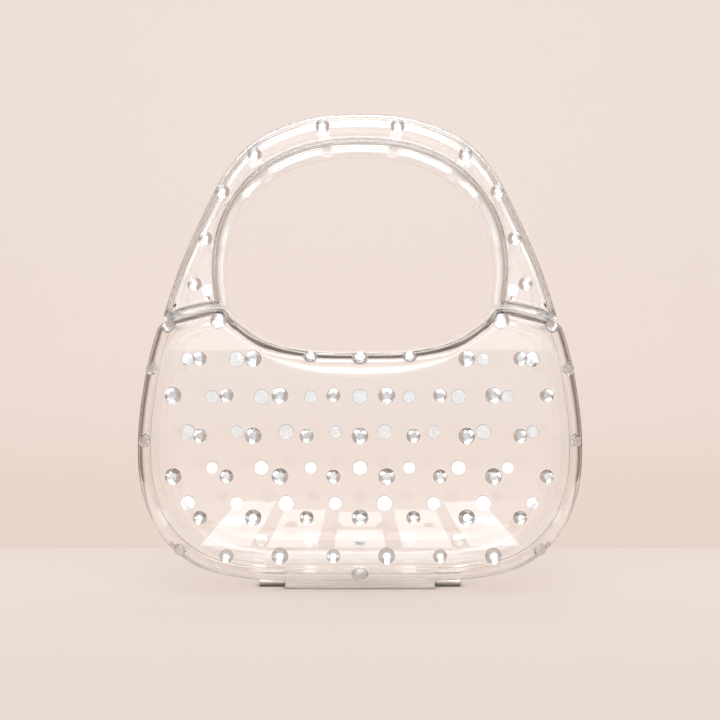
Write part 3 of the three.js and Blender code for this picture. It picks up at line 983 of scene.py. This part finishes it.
def drop_group(pieces):
    """Lowers a stage mesh as far as the pieces reach below the floor, so that an opened bag hangs clear."""
    group = bpy.data.node_groups.new("drop_below_bag", "GeometryNodeTree")
    for way in ("INPUT", "OUTPUT"):
        add_sockets(group, way, {"Geometry": "Geometry"})
    given = add_node(group, "NodeGroupInput")
    result = add_node(group, "NodeGroupOutput")
    together = add_node(group, "GeometryNodeJoinGeometry")
    box = add_node(group, "GeometryNodeBoundBox")
    corner = add_node(group, "ShaderNodeSeparateXYZ")
    depth = add_node(group, "ShaderNodeMath", {1: 0.0}, operation="MINIMUM")
    move = add_node(group, "ShaderNodeCombineXYZ")
    lowered = add_node(group, "GeometryNodeTransform")
    link = group.links.new
    for piece in pieces:
        place = add_node(group, "GeometryNodeObjectInfo", {"Object": piece}, transform_space="RELATIVE")
        link(place.outputs["Geometry"], together.inputs["Geometry"])
    link(together.outputs["Geometry"], box.inputs["Geometry"])
    link(box.outputs["Min"], corner.inputs["Vector"])
    link(corner.outputs["Z"], depth.inputs[0])
    link(depth.outputs["Value"], move.inputs["Z"])
    link(given.outputs["Geometry"], lowered.inputs["Geometry"])
    link(move.outputs["Vector"], lowered.inputs["Translation"])
    link(lowered.outputs["Geometry"], result.inputs["Geometry"])
    return group


drop_below_bag = drop_group([piece for piece in bpy.data.objects if piece.name in MOVING_PIECES])
for sheet in (floor, backdrop):
    sheet.modifiers.new("drop_below_bag", "NODES").node_group = drop_below_bag


def soft_lamp(name, place, aim, width, height, power, colour):
    """A rectangular lamp at a place, turned to an aim."""
    lamp = bpy.data.lights.new(name, "AREA")
    lamp.shape = "RECTANGLE"
    lamp.size = width
    lamp.size_y = height
    lamp.energy = power
    lamp.color = colour
    holder = bpy.data.objects.new(name, lamp)
    holder.location = place
    holder.rotation_euler = (Vector(aim) - Vector(place)).to_track_quat("-Z", "Y").to_euler()
    holder.visible_camera = False
    bpy.context.scene.collection.objects.link(holder)


# Lamps, in metres and watts
NEUTRAL = (1.0, 1.0, 1.0)
COOL = (0.77, 0.91, 1.0)
SOFT_LAMPS = [
    # name, place, aim, width, height, power, colour
    ("top_softbox", (0.0, -0.1, 1.25), (0.0, 0.0, 0.1), 1.4, 0.8, 3.5, NEUTRAL),
    ("front_softbox", (0.0, -1.1, 1.1), (0.0, 0.0, 0.1), 1.4, 1.1, 4.5, NEUTRAL),
    ("front_window", (0.0, -1.6, 0.4325), (0.0, 0.0, 0.4325), 0.9, 0.635, 1.2, NEUTRAL),
    ("key_panel", (0.0, -1.25, 0.84), (0.0, 0.0, 0.05), 0.5, 0.9, 4.6, NEUTRAL),
    ("wall_wash", (0.0, 0.3, 1.5), (0.0, 1.2, 0.1), 1.6, 0.5, 1.2, NEUTRAL),
]
# Light that the flat faces mirror: strips and panels on the floor in front. Strengths are in watts a square
# metre.
GLOW_STRIPS = [
    # name, far end, near end, width, strength
    ("floor_glow_horizon", -1.55, -1.15, 0.7, 0.6),
    ("floor_glow_far", -1.15, -0.8, 0.55, 0.7),
    ("floor_glow_middle", -0.8, -0.5, 0.42, 1.5),
    ("floor_glow_near", -0.5, -0.19, 0.3, 2.1),
    ("floor_glow_horizon_core", -1.55, -1.15, 0.33, 0.7),
    ("floor_glow_far_core", -1.15, -0.8, 0.27, 0.8),
    ("floor_glow_middle_core", -0.8, -0.5, 0.21, 2.8),
    ("floor_glow_near_core", -0.5, -0.19, 0.2, 1.9),
    ("floor_glow_shaded", -0.17, -0.104, 0.2, 5.2),
]
GLOW_LIFT = 0.001  # above the floor
PANEL_COLUMNS = (-2, -1, 0, 1, 2)
PANEL_ENDS = {0: (-0.285, -0.19), 1: (-0.298, -0.19), 2: (-0.36, -0.2)}  # far and near, by column
PANEL_PITCH = 0.0358
PANEL_WIDTH = 0.027
PANEL_STRENGTH = 8.2
PANEL_LIFT = 0.002


def floor_light(name, x, ends, width, strength, lift):
    """A lamp that lies on the floor and looks up."""
    far, near = ends
    middle = (far + near) / 2
    power = strength * width * (near - far)
    soft_lamp(name, (x, middle, lift), (x, middle, 1.0), width, near - far, power, COOL)


for lamp_row in SOFT_LAMPS:
    soft_lamp(*lamp_row)
for name, far, near, width, strength in GLOW_STRIPS:
    floor_light(name, 0.0, (far, near), width, strength, GLOW_LIFT)
for number, column in enumerate(PANEL_COLUMNS, start=1):
    ends = PANEL_ENDS[abs(column)]
    floor_light(f"floor_panel_{number}", column * PANEL_PITCH, ends, PANEL_WIDTH, PANEL_STRENGTH, PANEL_LIFT)

# What is mirrored where there is no stage or lamp, by the z and the y of a direction
ROOM_STOPS = [(0.1, (0.05, 0.04, 0.036)), (0.8, (0.75, 0.71, 0.68))]
ROOM_FRONT = (0.89, 0.91, 0.93)
ROOM_FRONT_FROM = -0.75
ROOM_FRONT_TO = -0.93


def studio_world():
    """Soft surroundings. In mirrored sight they are pale in front of the bag and overhead, and brown low at
    its sides, so that clear edges and facets show. To the camera, and straight through the bag, they are
    evenly pale."""
    world = bpy.data.worlds.new("studio")
    bpy.context.scene.world = world
    world.use_nodes = True
    tree = world.node_tree
    place = add_node(tree, "ShaderNodeTexCoord")
    parts = add_node(tree, "ShaderNodeSeparateXYZ")
    heights = add_node(tree, "ShaderNodeValToRGB")
    set_stops(heights, ROOM_STOPS)
    front_range = {"From Min": ROOM_FRONT_FROM, "From Max": ROOM_FRONT_TO}
    ahead = add_node(tree, "ShaderNodeMapRange", front_range, interpolation_type="SMOOTHSTEP")
    blend = add_node(tree, "ShaderNodeMix", {"B": (*ROOM_FRONT, 1)}, data_type="RGBA")
    path, straight = unmirrored(tree)
    through = add_node(tree, "ShaderNodeMath", operation="MULTIPLY")
    seen = add_node(tree, "ShaderNodeMath", operation="MAXIMUM")
    sight = add_node(tree, "ShaderNodeMix", {"B": (*SURROUNDINGS, 1)}, data_type="RGBA")
    link = tree.links.new
    link(path.outputs["Is Transmission Ray"], through.inputs[0])
    link(straight, through.inputs[1])
    link(path.outputs["Is Camera Ray"], seen.inputs[0])
    link(through.outputs["Value"], seen.inputs[1])
    link(seen.outputs["Value"], sight.inputs["Factor"])
    link(place.outputs["Generated"], parts.inputs["Vector"])
    link(parts.outputs["Z"], heights.inputs["Fac"])
    link(parts.outputs["Y"], ahead.inputs["Value"])
    link(ahead.outputs["Result"], blend.inputs["Factor"])
    link(heights.outputs["Color"], blend.inputs["A"])
    link(blend.outputs["Result"], sight.inputs["A"])
    link(sight.outputs["Result"], tree.nodes["Background"].inputs["Color"])


studio_world()

camera_data = bpy.data.cameras.new("camera")
camera_data.lens = CAMERA_LENS
camera_data.sensor_width = CAMERA_SENSOR
camera_data.clip_start = CAMERA_NEAREST
camera = bpy.data.objects.new("camera", camera_data)
camera.location = CAMERA_PLACE
camera.rotation_euler = (math.pi / 2, 0.0, 0.0)
scene = bpy.context.scene
scene.collection.objects.link(camera)
scene.camera = camera

# Light passes many clear walls and facets on its way
scene.view_settings.view_transform = "Standard"
scene.cycles.max_bounces = 32
scene.cycles.transmission_bounces = 32
scene.cycles.glossy_bounces = 16
scene.cycles.diffuse_bounces = 4
scene.cycles.transparent_max_bounces = 32
scene.cycles.caustics_refractive = False
scene.cycles.caustics_reflective = False
scene.cycles.sample_clamp_indirect = 8.0
